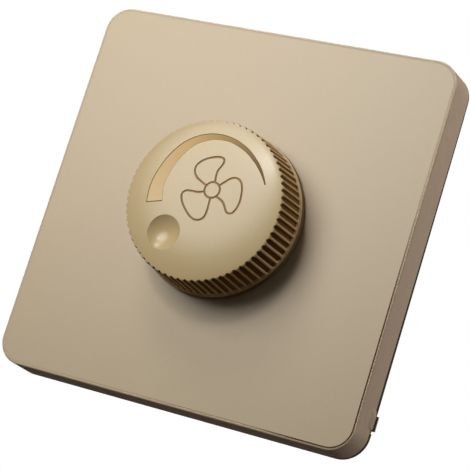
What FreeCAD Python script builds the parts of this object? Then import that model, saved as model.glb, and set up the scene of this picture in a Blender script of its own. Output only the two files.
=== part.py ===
import FreeCAD, Part
import math
import os

# Fan speed control switch: a square wall plate with a knurled knob, in millimetres.
# X is to the right seen from the front, Y goes into the wall, Z is up.
# The origin is the centre of the wall plane, on the knob's axis.

Vector = FreeCAD.Vector

# Every cut runs this far past the faces it opens
past = 1.0

# Cover plate, the moulded front
plate_width = 86.0
plate_draft = 0.49
plate_depth = 8.9
plate_corner = 6.0
plate_front_corner = 5.5
plate_front_wall = 2.2
plate_side_wall = 1.8
plate_edge_round = 0.35
plate_hole_r = 7.2
collar_wall = 1.4
collar_height = 2.2
plate_rib = 1.2
plate_rib_height = 1.7
hook_width = 7.0
hook_thickness = 1.3
hook_barb = 0.6
hook_barb_tip = 0.2
hook_barb_height = 0.8
hook_barb_gap = 0.1
hook_ledge = 0.8
hook_z = 20.0
pry_corner_gap = 9.0
pry_notch_length = 4.4
pry_notch_depth = 0.8
pry_lug_length = 3.2
pry_lug_reach = 0.45

# Mounting frame, screwed to the wall box behind the cover
lip_thickness = 0.45
lip_inset = 0.1
lip_corner = 9.0
frame_thickness = 2.0
frame_rim_wall = 1.4
frame_rim_height = 2.5
frame_gap = 0.25
frame_rib = 1.2
frame_rib_height = 1.6
frame_rib_angles = (38, 142, 218, 322)
frame_ring_r = 12.6
wall_screw_margin = 13.0
wall_slot_length = 8.0
wall_slot_r = 2.2
slot_pad = 1.6
slot_pad_height = 0.7

# Rear housing, inside the wall box
housing_width = 50.0
housing_height = 52.0
housing_corner = 3.0
housing_rear_round = 1.0
housing_wall = 1.6
housing_rear_wall = 1.8
boss_r = 3.0
boss_inset = 3.5
boss_pilot_r = 1.25
boss_spare_depth = 2.0
post_width = 2.5
post_z = 10.0
vent_count = 6
vent_width = 1.5
vent_length = 12.0
vent_pitch = 4.0
vent_start_y = 6.0

# Housing screws
screw_shank_r = 1.2
screw_head_r = 2.5
screw_head_height = 1.3
screw_head_bevel = 0.4
screw_length = 9.0
screw_hole_r = 1.5
cross_length = 2.6
cross_width = 0.6
cross_depth = 0.7

# Circuit board
board_thickness = 1.6
board_gap = 0.3
lead_gap = 0.1

# Rotary control with its on-off switch
bushing_r = 3.5
bushing_length = 6.6
bushing_chamfer = 0.5
bushing_flange_r = 8.4
bushing_flange = 1.2
shaft_r = 3.0
shaft_clear = 0.05
shaft_flat = 1.5
shaft_flat_length = 9.2
shaft_chamfer = 0.4
tail_r = 2.0
tail_clear = 0.03
wafer_thickness = 1.3
wafer_hole_r = 4.2
tongue_width = 10.0
tongue_reach = 12.5
track_inner_r = 5.2
track_outer_r = 7.0
track_thickness = 0.15
track_angle = 290.0
can_wall = 0.5
can_round = 0.15
control_depth = 6.3
switch_depth = 6.2
switch_board_gap = 2.0
rotor_r = 6.6
rotor_thickness = 1.5
rotor_lug_reach = 0.8
rotor_lug_angle = 24.0
wiper_angle = 40.0
wiper_thickness = 0.5
wiper_gap = 0.25
wiper_inner_r = 4.4
wiper_outer_r = 6.5
brush_inner_r = 5.4
brush_outer_r = 6.4
brush_angle = 5.0
brush_spread = 10.0
turn_range = 300.0
stop_clear_angle = 1.0
stop_reach = 1.0
strip_width = 1.2
strip_thickness = 0.5
strip_pitch = 3.5
strip_z = -10.6
strip_past_board = 1.2
nut_across_flats = 10.0
nut_height = 2.0
washer_r = 5.6
washer_thickness = 0.5
ring_r = 4.4
ring_thickness = 0.45
ring_groove_r = 2.45
ring_mouth = 3.4
cam_r = 3.4
cam_nose_r = 4.8
cam_nose_angle = 50.0
cam_thickness = 1.6
cam_gap = 0.4
switch_base_thickness = 1.2
switch_strip_x = 3.7
switch_strip_z = 5.8
leaf_thickness = 0.3
leaf_width = 1.2
leaf_cam_gap = 0.3
leaf_open_gap = 0.5

# Knob
knob_gap = 0.3
knob_base_r = 18.6
knob_base_height = 1.8
knob_ridge_base_r = 18.3
knob_ridge_rim_r = 17.7
knob_rim_height = 11.4
knob_crown_height = 12.4
knob_shoulder = 0.7
knob_skirt_wall = 1.6
knob_crown_wall = 2.0
knurl_count = 70
knurl_depth = 0.55
knurl_mouth = 1.26
knurl_root = 0.62
knurl_start = 2.0
knurl_runout = 1.0
knurl_proud = 0.3
knurl_tip_clear = 0.1
knurl_tip_root = 0.2
hub_r = 5.4
hub_rib = 1.1
hub_rib_count = 6
hub_rib_height = 4.0
hub_rib_sink = 0.3
hub_flat_gap = 0.65
hub_end_gap = 0.4
hub_floor = 1.5
dimple_x = -6.2
dimple_z = -8.7
dimple_r = 3.85
dimple_depth = 1.05
arc_depth = 0.25
arc_outer_x = 0.19
arc_outer_z = 1.25
arc_outer_r = 13.15
arc_inner_x = 1.71
arc_inner_z = 1.90
arc_inner_r = 11.39
arc_thick_end = 194.4
arc_thin_end = 24.0
spring_thickness = 0.3
spring_width = 2.8
spring_length = 6.0
spring_arch = 0.25
spring_gap = 0.05

# Choke, heat sink and triac, with their gaps from the board's edges and the screw bosses
choke_side_gap = 2.1
choke_top_gap = 5.1
choke_r = 6.0
choke_height = 12.0
choke_flange = 1.2
choke_core_r = 2.8
winding_r = 5.3
winding_gap = 0.05
sink_choke_gap = 2.0
sink_boss_gap = 0.5
sink_top_gap = 2.0
sink_past_tab = 0.1
sink_thickness = 1.5
sink_return = 6.0
triac_width = 10.0
triac_thickness = 4.6
triac_stand = 1.5
triac_length = 8.5
tab_length = 5.4
tab_thickness = 1.3
tab_hole_r = 1.6
leg_width = 0.9
leg_thickness = 0.6
leg_pitch = 2.54
triac_screw_r = 1.5
triac_screw_clear = 0.2
triac_screw_head = 1.6
triac_nut_flats = 5.5
triac_nut_height = 1.6

# Capacitors: gap from the side and from the lower edge of the board, then width, thickness, height
film_capacitor = (2.6, 5.1, 13.0, 6.0, 11.0)
small_capacitor = (4.6, 4.0, 8.0, 4.0, 8.0)
capacitor_round = 0.8

# Resistors, trigger diode and fuse
resistor_side_gap = 3.1
resistor_pitch = 3.0
resistor_count = 3
resistor_low_gap = 2.0
resistor_r = 1.2
resistor_length = 6.5
resistor_span = 10.0
diac_side_gap = 2.8
diac_low_gap = 7.0
diac_r = 0.9
diac_length = 4.0
diac_span = 8.0
fuse_side_gap = 6.6
fuse_sink_gap = 3.85
fuse_r = 2.3
fuse_length = 9.5
fuse_span = 12.5
lead_r = 0.35
lead_stand = 0.2

# Wire terminals
terminal_x = 8.0
clamp_width = 7.0
clamp_height = 7.6
clamp_depth = 6.6
clamp_bore_r = 1.5
entry_hole_r = 1.9
clamp_screw_r = 1.5
clamp_screw_head_r = 2.4
clamp_screw_head = 1.4
clamp_head_gap = 0.2
clamp_tip_gap = 0.2
clamp_thread_gap = 0.05
driver_hole_r = 3.0

# Worked out from the sizes above
half_rear = plate_width / 2
half_front = half_rear - plate_draft
rim_y = -lip_thickness
front_y = rim_y - plate_depth
inner_front_y = front_y + plate_front_wall
pry_z = pry_corner_gap - half_rear
half_inner_front = half_front - plate_side_wall
frame_half = half_inner_front - frame_gap
frame_corner = max(plate_front_corner - plate_side_wall - frame_gap, 1.0)
frame_front_y = -frame_thickness
rim_front_y = frame_front_y - frame_rim_height
frame_rim_inner = frame_half - frame_rim_wall
hook_x = frame_rim_inner - hook_barb - hook_thickness - frame_gap
wall_screw_spacing = plate_width - 2 * wall_screw_margin
housing_half_x = housing_width / 2
housing_half_z = housing_height / 2
boss_x = housing_half_x - boss_inset
boss_z = housing_half_z - boss_inset
board_half_x = housing_half_x - housing_wall - board_gap
board_half_z = housing_half_z - housing_wall - board_gap
can_r = bushing_flange_r
can_inner_r = can_r - can_wall
wafer_y = bushing_flange
track_y = wafer_y + wafer_thickness
control_end_y = track_y + control_depth
switch_end_y = control_end_y + switch_depth
board_front_y = switch_end_y + switch_board_gap
board_rear_y = board_front_y + board_thickness
housing_inner_y = board_rear_y + clamp_depth
housing_depth = housing_inner_y + housing_rear_wall
wiper_y = track_y + track_thickness + wiper_gap
rotor_y = wiper_y + wiper_thickness
cam_y = control_end_y + can_wall + cam_gap
leaf_y = cam_y + cam_thickness + leaf_cam_gap
tail_end_y = cam_y + cam_thickness
switch_base_y = switch_end_y - switch_base_thickness
washer_y = frame_front_y - washer_thickness
nut_y = washer_y - nut_height
ring_y = -bushing_length - shaft_clear - ring_thickness
knob_y = front_y - knob_gap
knob_step_y = front_y - knob_base_height
knob_rim_y = front_y - knob_rim_height
crown_y = front_y - knob_crown_height
crown_inner_y = crown_y + knob_crown_wall
shaft_end_y = crown_inner_y + hub_floor
bore_end_y = shaft_end_y - hub_end_gap
skirt_inner_rim_r = knob_ridge_rim_r - knurl_depth - knob_skirt_wall
skirt_inner_base_r = knob_ridge_base_r - knurl_depth - knob_skirt_wall
dimple_angle = math.degrees(math.atan2(dimple_z, dimple_x))
stop_centre = dimple_angle + (360.0 - turn_range) / 2
stop_angle = 360.0 - turn_range - rotor_lug_angle - 2 * stop_clear_angle
clamp_y = (board_rear_y + housing_inner_y) / 2
terminal_z = clamp_head_gap + clamp_screw_head + clamp_height / 2 + housing_wall - housing_half_z
choke_x = choke_side_gap + choke_r - board_half_x
choke_z = board_half_z - choke_top_gap - choke_r
sink_left = choke_x + choke_r + sink_choke_gap
sink_right = boss_x - boss_r - sink_boss_gap
sink_z = board_half_z - sink_top_gap - sink_thickness
tab_y = board_front_y - triac_stand - triac_length - tab_length
sink_y = tab_y - sink_past_tab
triac_x = (sink_left + sink_right) / 2
tab_hole_y = tab_y + tab_length / 2
triac_screw_head_r = tab_length / 2 - triac_screw_clear
small_capacitor_top = small_capacitor[1] + small_capacitor[3] - board_half_z
film_capacitor_top = film_capacitor[1] + film_capacitor[3] - board_half_z
resistor_z = small_capacitor_top + resistor_low_gap + resistor_span / 2
diac_z = film_capacitor_top + diac_low_gap + diac_span / 2
fuse_z = sink_z - sink_return - fuse_sink_gap - fuse_span / 2


def block(x0, x1, y0, y1, z0, z1):
    low = Vector(min(x0, x1), min(y0, y1), min(z0, z1))
    return Part.makeBox(abs(x1 - x0), abs(y1 - y0), abs(z1 - z0), low)


def rod(r, y0, y1, x=0.0, z=0.0):
    return Part.makeCylinder(r, y1 - y0, Vector(x, y0, z), Vector(0, 1, 0))


def upright_rod(r, z0, z1, x, y):
    return Part.makeCylinder(r, z1 - z0, Vector(x, y, z0), Vector(0, 0, 1))


def tube(r_out, r_in, y0, y1):
    return rod(r_out, y0, y1).cut(rod(r_in, y0 - past, y1 + past))


def polar(r, angle, y):
    a = math.radians(angle)
    return Vector(r * math.cos(a), y, r * math.sin(a))


def mirrored(shape):
    return shape.mirror(Vector(0, 0, 0), Vector(1, 0, 0))


def both_sides(shape):
    return [shape, mirrored(shape)]


def rounded_wire(half_x, half_z, corner, y):
    """Rectangle with round corners about the knob's axis, square to it."""
    inset = corner * (1 - math.sqrt(0.5))
    arcs = []
    for sx, sz in ((1, 1), (-1, 1), (-1, -1), (1, -1)):
        on_side = Vector(sx * half_x, y, sz * (half_z - corner))
        on_top = Vector(sx * (half_x - corner), y, sz * half_z)
        middle = Vector(sx * (half_x - inset), y, sz * (half_z - inset))
        first, last = (on_side, on_top) if sx * sz > 0 else (on_top, on_side)
        arcs.append((first, middle, last))
    edges = []
    for i, (first, middle, last) in enumerate(arcs):
        edges.append(Part.Arc(first, middle, last).toShape())
        edges.append(Part.makeLine(last, arcs[(i + 1) % 4][0]))
    return Part.Wire(edges)


def rounded_plate(half_x, half_z, corner, y0, y1):
    face = Part.Face(rounded_wire(half_x, half_z, corner, y0))
    return face.extrude(Vector(0, y1 - y0, 0))


def slot_tool(r, length, y0, y1, x):
    half = length / 2 - r
    ends = [rod(r, y0, y1, x - half), rod(r, y0, y1, x + half)]
    return block(x - half, x + half, y0, y1, -r, r).fuse(ends).removeSplitter()


def sector(r0, r1, centre, width, y0, y1):
    """Part of a ring about the knob's axis, between two angles."""
    a, b = centre - width / 2, centre + width / 2
    edges = [
        Part.Arc(polar(r1, a, y0), polar(r1, centre, y0), polar(r1, b, y0)).toShape(),
        Part.makeLine(polar(r1, b, y0), polar(r0, b, y0)),
        Part.Arc(polar(r0, b, y0), polar(r0, centre, y0), polar(r0, a, y0)).toShape(),
        Part.makeLine(polar(r0, a, y0), polar(r1, a, y0)),
    ]
    return Part.Face(Part.Wire(edges)).extrude(Vector(0, y1 - y0, 0))


def edges_at(shape, y, reach=0.0):
    """Edges that lie at one depth, at least so far from the knob's axis."""
    found = []
    for edge in shape.Edges:
        box = edge.BoundBox
        flat = abs(box.YMin - y) < 1e-4 and abs(box.YMax - y) < 1e-4
        point = edge.valueAt((edge.FirstParameter + edge.LastParameter) / 2)
        if flat and max(abs(point.x), abs(point.z)) >= reach:
            found.append(edge)
    return found


def snap_hook(z):
    """Tongue behind the front with a barb that catches under the frame's ledge."""
    x_in, x_out = hook_x, hook_x + hook_thickness
    barb_y = frame_front_y + hook_ledge + hook_barb_gap
    end_y = barb_y + hook_barb_height
    outline = [
        (x_in, inner_front_y), (x_out, inner_front_y), (x_out, barb_y),
        (x_out + hook_barb, barb_y), (x_out + hook_barb_tip, end_y), (x_in, end_y),
    ]
    corners = [Vector(x, y, z - hook_width / 2) for x, y in outline]
    face = Part.Face(Part.makePolygon(corners + corners[:1]))
    return face.extrude(Vector(0, 0, hook_width))


def hook_window(z):
    """Slot for a hook, with a ledge in front that the barb catches on."""
    z0, z1 = z - hook_width / 2 - frame_gap, z + hook_width / 2 + frame_gap
    x_in, x_out = hook_x - frame_gap, hook_x + hook_thickness + frame_gap
    through = block(x_in, x_out, rim_front_y - past, past, z0, z1)
    behind = block(x_in, x_out + hook_barb, frame_front_y + hook_ledge, past, z0, z1)
    return through.fuse(behind)


def cover_plate():
    wall = plate_side_wall
    front = rounded_wire(half_front, half_front, plate_front_corner, front_y)
    rear = rounded_wire(half_rear, half_rear, plate_corner, rim_y)
    shell = Part.makeLoft([front, rear], True, True)
    shell = shell.makeFillet(plate_edge_round, edges_at(shell, front_y))
    hollow = Part.makeLoft([
        rounded_wire(half_inner_front, half_inner_front, plate_front_corner - wall, inner_front_y),
        rounded_wire(half_rear - wall, half_rear - wall, plate_corner - wall, rim_y),
    ], True, True)
    shell = shell.cut(hollow)

    rib_end = inner_front_y + plate_rib_height
    reach = half_inner_front + wall / 2
    half_rib = plate_rib / 2
    inside = [
        rod(plate_hole_r + collar_wall, inner_front_y, inner_front_y + collar_height),
        block(-reach, reach, inner_front_y, rib_end, -half_rib, half_rib),
        block(-half_rib, half_rib, inner_front_y, rib_end, -reach, reach),
    ]
    for z in (hook_z, -hook_z):
        inside += both_sides(snap_hook(z))
    hole = rod(plate_hole_r, front_y - past, inner_front_y + collar_height + past)
    notch = block(half_rear - wall - past, half_rear + past, rim_y - pry_notch_depth, rim_y + past,
                  pry_z - pry_notch_length / 2, pry_z + pry_notch_length / 2)
    return shell.fuse(inside).cut([hole, notch]).removeSplitter()


def mounting_frame():
    lip_half = half_rear - lip_inset
    rib_y = frame_front_y - frame_rib_height
    rim = rounded_plate(frame_half, frame_half, frame_corner, rim_front_y, frame_front_y)
    rim_hollow = rounded_plate(frame_rim_inner, frame_rim_inner,
                               max(frame_corner - frame_rim_wall, 0.5),
                               rim_front_y - past, frame_front_y)
    solids = [
        rounded_plate(frame_half, frame_half, frame_corner, frame_front_y, 0),
        rim.cut(rim_hollow),
        tube(frame_ring_r + frame_rib, frame_ring_r, rib_y, frame_front_y),
        block(lip_half - plate_side_wall, half_rear + pry_lug_reach, -lip_thickness, 0,
              pry_z - pry_lug_length / 2, pry_z + pry_lug_length / 2),
    ]
    for angle in frame_rib_angles:
        rib = block(frame_ring_r + frame_rib / 2, frame_rim_inner, rib_y, frame_front_y,
                    -frame_rib / 2, frame_rib / 2)
        rib.rotate(Vector(0, 0, 0), Vector(0, 1, 0), angle)
        solids.append(rib)
    pad_r, pad_length = wall_slot_r + slot_pad, wall_slot_length + 2 * slot_pad
    solids += both_sides(slot_tool(pad_r, pad_length, frame_front_y - slot_pad_height,
                                   frame_front_y, wall_screw_spacing / 2))
    body = rounded_plate(lip_half, lip_half, lip_corner, -lip_thickness, 0).fuse(solids)

    through_y = rim_front_y - past
    cuts = [rod(bushing_r + shaft_clear, through_y, past)]
    cuts += both_sides(slot_tool(wall_slot_r, wall_slot_length, through_y, past,
                                 wall_screw_spacing / 2))
    for z in (hook_z, -hook_z):
        cuts += both_sides(hook_window(z))
    for z in (boss_z, -boss_z):
        cuts += both_sides(rod(screw_hole_r, through_y, past, boss_x, z))
        cuts += both_sides(rod(screw_head_r + frame_gap, through_y, frame_front_y, boss_x, z))
    return body.cut(cuts).removeSplitter()


def rear_housing():
    outer = rounded_plate(housing_half_x, housing_half_z, housing_corner, 0, housing_depth)
    outer = outer.makeFillet(housing_rear_round, edges_at(outer, housing_depth))
    inner_x, inner_z = housing_half_x - housing_wall, housing_half_z - housing_wall
    hollow = rounded_plate(inner_x, inner_z, housing_corner - housing_wall, -past,
                           housing_inner_y)
    inside = []
    sunk = housing_wall / 2
    for side in (1, -1):
        inside += both_sides(rod(boss_r, 0, housing_inner_y + sunk, boss_x, side * boss_z))
        z = side * post_z
        inside += both_sides(block(inner_x - post_width, inner_x + sunk, board_rear_y,
                                   housing_inner_y + sunk, z - post_width / 2, z + post_width / 2))
    shell = outer.cut(hollow).fuse(inside)

    cuts = both_sides(rod(entry_hole_r, housing_inner_y - past, housing_depth + past,
                          terminal_x, terminal_z))
    cuts += both_sides(upright_rod(driver_hole_r, -housing_half_z - past, sunk - inner_z,
                                   terminal_x, clamp_y))
    for z in (boss_z, -boss_z):
        depth = screw_length - frame_thickness + boss_spare_depth
        cuts += both_sides(rod(boss_pilot_r, -past, depth, boss_x, z))
    for i in range(vent_count):
        x = (i - (vent_count - 1) / 2) * vent_pitch
        cuts.append(block(x - vent_width / 2, x + vent_width / 2, vent_start_y,
                          vent_start_y + vent_length, inner_z - past, housing_half_z + past))
    return shell.cut(cuts).removeSplitter()


def housing_screws():
    head_y = frame_front_y - screw_head_height
    head = rod(screw_head_r, head_y, frame_front_y, boss_x, boss_z)
    head = head.makeChamfer(screw_head_bevel, edges_at(head, head_y))
    shank = rod(screw_shank_r, frame_front_y, frame_front_y + screw_length, boss_x, boss_z)
    half, width = cross_length / 2, cross_width / 2
    cross = [
        block(boss_x - half, boss_x + half, head_y, head_y + cross_depth,
              boss_z - width, boss_z + width),
        block(boss_x - width, boss_x + width, head_y, head_y + cross_depth,
              boss_z - half, boss_z + half),
    ]
    screw = head.fuse(shank).cut(cross).removeSplitter()
    lower = screw.translated(Vector(0, 0, -2 * boss_z))
    return Part.makeCompound(both_sides(screw) + both_sides(lower))


def strip(x, z, y0, y1, grow=0.0):
    half_x, half_z = strip_width / 2 + grow, strip_thickness / 2 + grow
    return block(x - half_x, x + half_x, y0, y1, z - half_z, z + half_z)


def circuit_board():
    board = block(-board_half_x, board_half_x, board_front_y, board_rear_y,
                  -board_half_z, board_half_z)
    y0, y1 = board_front_y - past, board_rear_y + past
    near = boss_r + board_gap
    cuts = []
    for side in (1, -1):
        z, z_out = side * boss_z, side * housing_half_z
        cuts += both_sides(rod(near, y0, y1, boss_x, z))
        cuts += both_sides(block(boss_x - near, housing_half_x, y0, y1, z, z_out))
        cuts += both_sides(block(boss_x, housing_half_x, y0, y1, z - side * near, z))
    for x in (-strip_pitch, 0, strip_pitch):
        cuts.append(strip(x, strip_z, y0, y1, lead_gap))
    cuts += both_sides(strip(switch_strip_x, switch_strip_z, y0, y1, lead_gap))
    return board.cut(cuts)


def control_bushing():
    """Threaded neck and the flange that bears on the frame's rear."""
    neck = rod(bushing_r, -bushing_length, 0)
    neck = neck.makeChamfer(bushing_chamfer, edges_at(neck, -bushing_length))
    flange = rod(bushing_flange_r, 0, bushing_flange)
    bore = rod(shaft_r + shaft_clear, -bushing_length - past, bushing_flange + past)
    return neck.fuse(flange).cut(bore).removeSplitter()


def resistance_wafer():
    half = tongue_width / 2
    tongue = block(-half, half, wafer_y, track_y, -tongue_reach, 0)
    disc = rod(can_r - can_wall / 2, wafer_y, track_y)
    return disc.fuse(tongue).cut(rod(wafer_hole_r, wafer_y - past, track_y + past)).removeSplitter()


def carbon_track():
    return sector(track_inner_r, track_outer_r, stop_centre + 180.0, track_angle,
                  track_y, track_y + track_thickness)


def control_strips():
    """Three strips from the wafer's tongue back through the board."""
    strips = []
    for x in (-strip_pitch, 0, strip_pitch):
        foot = block(x - strip_width / 2, x + strip_width / 2, track_y, track_y + strip_thickness,
                     strip_z, -tongue_reach)
        leg = strip(x, strip_z, track_y, board_rear_y + strip_past_board)
        strips.append(leg.fuse(foot).removeSplitter())
    return Part.makeCompound(strips)


def control_can():
    """Steel can over the track, with a stop pressed into its wall."""
    can = rod(can_r, track_y, control_end_y)
    can = can.cut(rod(can_inner_r, track_y - past, control_end_y - can_wall))
    stop = sector(can_inner_r - stop_reach, can_r - can_wall / 2, stop_centre, stop_angle,
                  rotor_y, rotor_y + rotor_thickness)
    tongue = block(-tongue_width / 2 - board_gap, tongue_width / 2 + board_gap, track_y,
                   track_y + strip_thickness + board_gap, -can_r, 0)
    hole = rod(tail_r + board_gap, track_y, control_end_y + past)
    return can.fuse(stop).cut([hole, tongue]).removeSplitter()


def switch_can():
    can = rod(can_r, control_end_y, switch_end_y)
    can = can.cut(rod(can_inner_r, control_end_y + can_wall, switch_end_y + past))
    can = can.cut(rod(tail_r + board_gap, control_end_y - past, switch_end_y))
    return can.makeFillet(can_round, edges_at(can, switch_end_y, can_inner_r + can_wall / 2))


def switch_base():
    base = rod(can_inner_r - tail_clear, switch_base_y, switch_end_y)
    slots = both_sides(strip(switch_strip_x, switch_strip_z, switch_base_y - past,
                             switch_end_y + past, tail_clear))
    return base.cut(slots)


def switch_strips():
    far = board_rear_y + strip_past_board
    fixed = strip(-switch_strip_x, switch_strip_z, leaf_y + leaf_thickness, far)
    open_side = strip(switch_strip_x, switch_strip_z, leaf_y + leaf_thickness + leaf_open_gap, far)
    return Part.makeCompound([fixed, open_side])


def switch_leaf():
    reach = switch_strip_x + strip_width / 2
    return block(-reach, reach, leaf_y, leaf_y + leaf_thickness,
                 switch_strip_z - leaf_width / 2, switch_strip_z + leaf_width / 2)


def hex_nut(across_flats, bore, y0, y1):
    r = across_flats / math.sqrt(3)
    corners = [polar(r, 60 * i, y0) for i in range(7)]
    nut = Part.Face(Part.makePolygon(corners)).extrude(Vector(0, y1 - y0, 0))
    return nut.cut(rod(bore, y0 - past, y1 + past))


def retaining_ring():
    ring = tube(ring_r, ring_groove_r + tail_clear, ring_y, ring_y + ring_thickness)
    mouth = block(-ring_mouth / 2, ring_mouth / 2, ring_y - past, 0, -ring_r - past, 0)
    return ring.cut(mouth)


def control_shaft():
    """D-shaped end for the knob, groove for the ring, thin tail for rotor and cam."""
    shaft = rod(shaft_r, shaft_end_y, rotor_y)
    shaft = shaft.makeChamfer(shaft_chamfer, edges_at(shaft, shaft_end_y))
    flat_end = shaft_end_y + shaft_flat_length
    flat = block(-shaft_r, shaft_r, shaft_end_y - past, flat_end, shaft_flat, shaft_r + past)
    groove = tube(shaft_r + past, ring_groove_r, ring_y - tail_clear,
                  ring_y + ring_thickness + tail_clear)
    tail = rod(tail_r, rotor_y, tail_end_y)
    return shaft.fuse(tail).cut([flat, groove]).removeSplitter()


def rotor():
    disc = rod(rotor_r, rotor_y, rotor_y + rotor_thickness)
    lug = sector(rotor_r / 2, rotor_r + rotor_lug_reach, dimple_angle, rotor_lug_angle,
                 rotor_y, rotor_y + rotor_thickness)
    bore = rod(tail_r + tail_clear, rotor_y - past, rotor_y + rotor_thickness + past)
    return disc.fuse(lug).cut(bore).removeSplitter()


def wiper():
    """Sprung contact under the rotor, with two brushes that reach towards the track."""
    opposite = dimple_angle + 180
    plate = sector(wiper_inner_r, wiper_outer_r, opposite, wiper_angle,
                   rotor_y - wiper_thickness / 2, rotor_y)
    brushes = [sector(brush_inner_r, brush_outer_r, opposite + side * brush_spread, brush_angle,
                      wiper_y, rotor_y) for side in (1, -1)]
    return plate.fuse(brushes).removeSplitter()


def switch_cam():
    disc = rod(cam_r, cam_y, cam_y + cam_thickness)
    nose = sector(cam_r / 2, cam_nose_r, 90.0 + cam_nose_angle, cam_nose_angle, cam_y,
                  cam_y + cam_thickness)
    bore = rod(tail_r + tail_clear, cam_y - past, cam_y + cam_thickness + past)
    return disc.fuse(nose).cut(bore).removeSplitter()


def knob_outside():
    """Base ring, drafted side and shallow dome, before the knurl."""
    width, rise = knob_ridge_rim_r, knob_rim_y - crown_y
    dome_r = (width ** 2 + rise ** 2) / (2 * rise)
    half_y = crown_y + dome_r - math.sqrt(dome_r ** 2 - (width / 2) ** 2)
    crown = Vector(0, crown_y, 0)
    rim = Vector(width, knob_rim_y, 0)
    step = knob_base_r - knob_ridge_base_r
    line = [
        rim, Vector(knob_ridge_base_r, knob_step_y - step, 0), Vector(knob_base_r, knob_step_y, 0),
        Vector(knob_base_r, knob_y, 0), Vector(0, knob_y, 0), crown,
    ]
    edges = [Part.Arc(crown, Vector(width / 2, half_y, 0), rim).toShape()]
    edges += [Part.makeLine(a, b) for a, b in zip(line, line[1:])]
    body = Part.Face(Part.Wire(edges)).revolve(Vector(0, 0, 0), Vector(0, 1, 0), 360)
    return body.makeFillet(knob_shoulder, edges_at(body, knob_rim_y, width - 0.1))


def ridge_r(height):
    """Radius of the drafted side at a height above the plate."""
    share = (height - knob_base_height) / (knob_rim_height - knob_base_height)
    return knob_ridge_base_r + share * (knob_ridge_rim_r - knob_ridge_base_r)


def knurl_section(height, depth, root):
    """Cross-section of a groove, wider outside the ridges so that it cuts clean edges."""
    flare = (knurl_mouth - knurl_root) / 2 / knurl_depth
    half_root = root / 2
    half_mouth = half_root + flare * (depth + knurl_proud)
    low, high = ridge_r(height) - depth, ridge_r(height) + knurl_proud
    y = front_y - height
    return Part.makePolygon([
        Vector(low, y, -half_root), Vector(low, y, half_root),
        Vector(high, y, half_mouth), Vector(high, y, -half_mouth), Vector(low, y, -half_root),
    ])


def knurl_cutters():
    """Grooves that follow the drafted side, shallow out at the base and run over the rim."""
    tool = Part.makeLoft([
        knurl_section(knurl_start, -knurl_tip_clear, knurl_tip_root),
        knurl_section(knurl_start + knurl_runout, knurl_depth, knurl_root),
        knurl_section(knob_rim_height + past, knurl_depth, knurl_root),
    ], True, True)
    cutters = []
    for i in range(knurl_count):
        cutter = tool.copy()
        cutter.rotate(Vector(0, 0, 0), Vector(0, 1, 0), 360.0 * (i + 0.5) / knurl_count)
        cutters.append(cutter)
    return cutters


def arc_recess(outside):
    """Crescent between two circles, sunk evenly below the dome."""
    y0, y1 = crown_y - past, knob_rim_y + past
    ring = rod(arc_outer_r, y0, y1, arc_outer_x, arc_outer_z)
    ring = ring.cut(rod(arc_inner_r, y0 - past, y1 + past, arc_inner_x, arc_inner_z))
    centre = (arc_thick_end + arc_thin_end) / 2
    ring = ring.common(sector(1.0, knob_base_r, centre, arc_thick_end - arc_thin_end, y0, y1))
    return ring.cut(outside.translated(Vector(0, arc_depth, 0)))


def knob_cap():
    outside = knob_outside()
    hollow = Part.makePolygon([
        Vector(hub_r, knob_y + past, 0), Vector(skirt_inner_base_r, knob_y + past, 0),
        Vector(skirt_inner_base_r, knob_y, 0), Vector(skirt_inner_rim_r, crown_inner_y, 0),
        Vector(hub_r, crown_inner_y, 0), Vector(hub_r, knob_y + past, 0),
    ])
    hollow = Part.Face(hollow).revolve(Vector(0, 0, 0), Vector(0, 1, 0), 360)
    ribs = []
    for i in range(hub_rib_count):
        rib = block(hub_r - hub_rib_sink, skirt_inner_rim_r + knob_skirt_wall / 2,
                    crown_inner_y - hub_rib_sink, crown_inner_y + hub_rib_height,
                    -hub_rib / 2, hub_rib / 2)
        rib.rotate(Vector(0, 0, 0), Vector(0, 1, 0), 360.0 * i / hub_rib_count)
        ribs.append(rib)
    bore = rod(shaft_r + shaft_clear, bore_end_y, knob_y + past)
    bore = bore.cut(block(-shaft_r - past, shaft_r + past, bore_end_y - past, knob_y + past,
                          shaft_flat + hub_flat_gap, shaft_r + past))

    dimple_reach = math.hypot(dimple_x, dimple_z)
    rise = knob_rim_y - crown_y
    dimple_face_y = crown_y + rise * (dimple_reach / knob_ridge_rim_r) ** 2
    ball_r = (dimple_r ** 2 + dimple_depth ** 2) / (2 * dimple_depth)
    ball = Part.makeSphere(ball_r, Vector(dimple_x, dimple_face_y + dimple_depth - ball_r, dimple_z))

    knob = outside.cut(hollow).fuse(ribs)
    knob = knob.cut([bore, ball, arc_recess(outside)])
    return knob.cut(knurl_cutters())


def knob_spring():
    """Arched leaf between the shaft's flat and the hub."""
    z = shaft_flat + spring_gap
    y0 = bore_end_y + (knob_y - bore_end_y - spring_length) / 2
    y1 = y0 + spring_length
    middle = (y0 + y1) / 2
    x = -spring_width / 2
    top = z + spring_thickness
    edges = [
        Part.Arc(Vector(x, y0, z), Vector(x, middle, z + spring_arch), Vector(x, y1, z)).toShape(),
        Part.makeLine(Vector(x, y1, z), Vector(x, y1, top)),
        Part.Arc(Vector(x, y1, top), Vector(x, middle, top + spring_arch),
                 Vector(x, y0, top)).toShape(),
        Part.makeLine(Vector(x, y0, top), Vector(x, y0, z)),
    ]
    return Part.Face(Part.Wire(edges)).extrude(Vector(spring_width, 0, 0))


def choke_core():
    y0 = board_front_y - choke_height
    flanges = [rod(choke_r, y0, y0 + choke_flange, choke_x, choke_z),
               rod(choke_r, board_front_y - choke_flange, board_front_y, choke_x, choke_z)]
    return rod(choke_core_r, y0, board_front_y, choke_x, choke_z).fuse(flanges).removeSplitter()


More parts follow.
